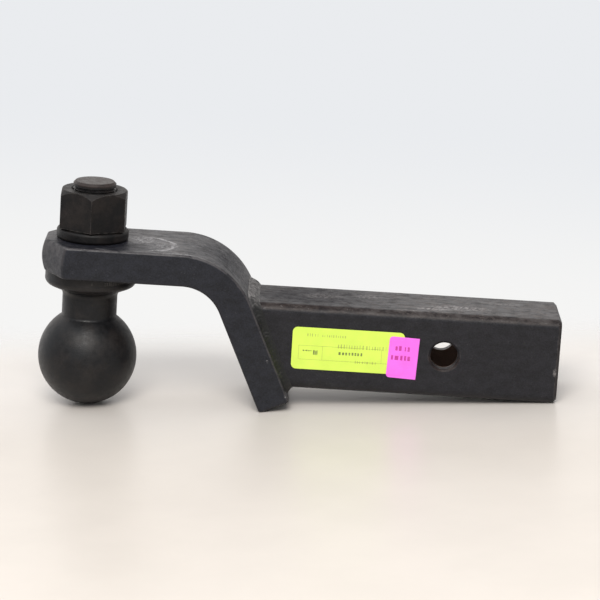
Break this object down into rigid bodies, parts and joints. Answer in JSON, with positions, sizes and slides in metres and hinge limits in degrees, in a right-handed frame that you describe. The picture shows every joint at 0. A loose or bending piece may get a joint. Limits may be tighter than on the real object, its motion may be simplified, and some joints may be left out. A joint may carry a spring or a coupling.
{
  "type": "trailer hitch ball mount",
  "caption": "Welded ball mount for a square hitch receiver: a bent tongue bar carries a trailer ball, held by a lock washer and nut.",
  "frame": {"origin": "centre of the hitch-pin hole, on the centreline of the square shank", "axes": "+X along the shank to its open end, +Y across the shank along the pin hole, +Z toward the nut side of the tongue, as the mount lies nut-up on a bench; turned over about X it is in its towing position"},
  "size_m": [0.3088, 0.0636, 0.1351],
  "materials": {
    "bar_paint": "matte black powder coat, scuffed to grey on the upper faces",
    "tube_paint": "matte black powder coat with brown wear along the edges",
    "weld_paint": "painted weld metal, rippled",
    "ball_black": "black oxide on forged steel, satin",
    "fastener_black": "black oxide on steel, dull",
    "yellow_paper": "fluorescent yellow-green label paper",
    "pink_paper": "fluorescent pink label paper"
  },
  "bodies": {
    "mount": {"tongue_bar": "bar_paint", "shank_tube": "tube_paint", "weld_top": "weld_paint", "weld_near_side": "weld_paint", "weld_far_side": "weld_paint", "weld_bottom": "weld_paint", "yellow_label": "yellow_paper", "pink_label": "pink_paper"},
    "ball": {"hitch_ball": "ball_black"},
    "washer": {"lock_washer": "fastener_black"},
    "nut": {"hex_nut": "fastener_black"}
  },
  "joints": [
    {"name": "ball_turn", "type": "hinge", "parent": "mount", "child": "ball", "pos_m": [-0.2114, 0, 0.0434], "axis": [0, 0, 1], "continuous": true},
    {"name": "nut_travel", "type": "slide", "parent": "ball", "child": "washer", "axis": [0, 0, 1], "range_m": [0, 0.0285]},
    {"name": "nut_spin", "type": "hinge", "parent": "washer", "child": "nut", "pos_m": [-0.2114, 0, 0.07], "axis": [0, 0, 1], "range_deg": [0, 5660]}
  ],
  "couplings": [
    {"joint": "nut_spin", "follows": "nut_travel", "rad_per_m": 3463.2}
  ]
}
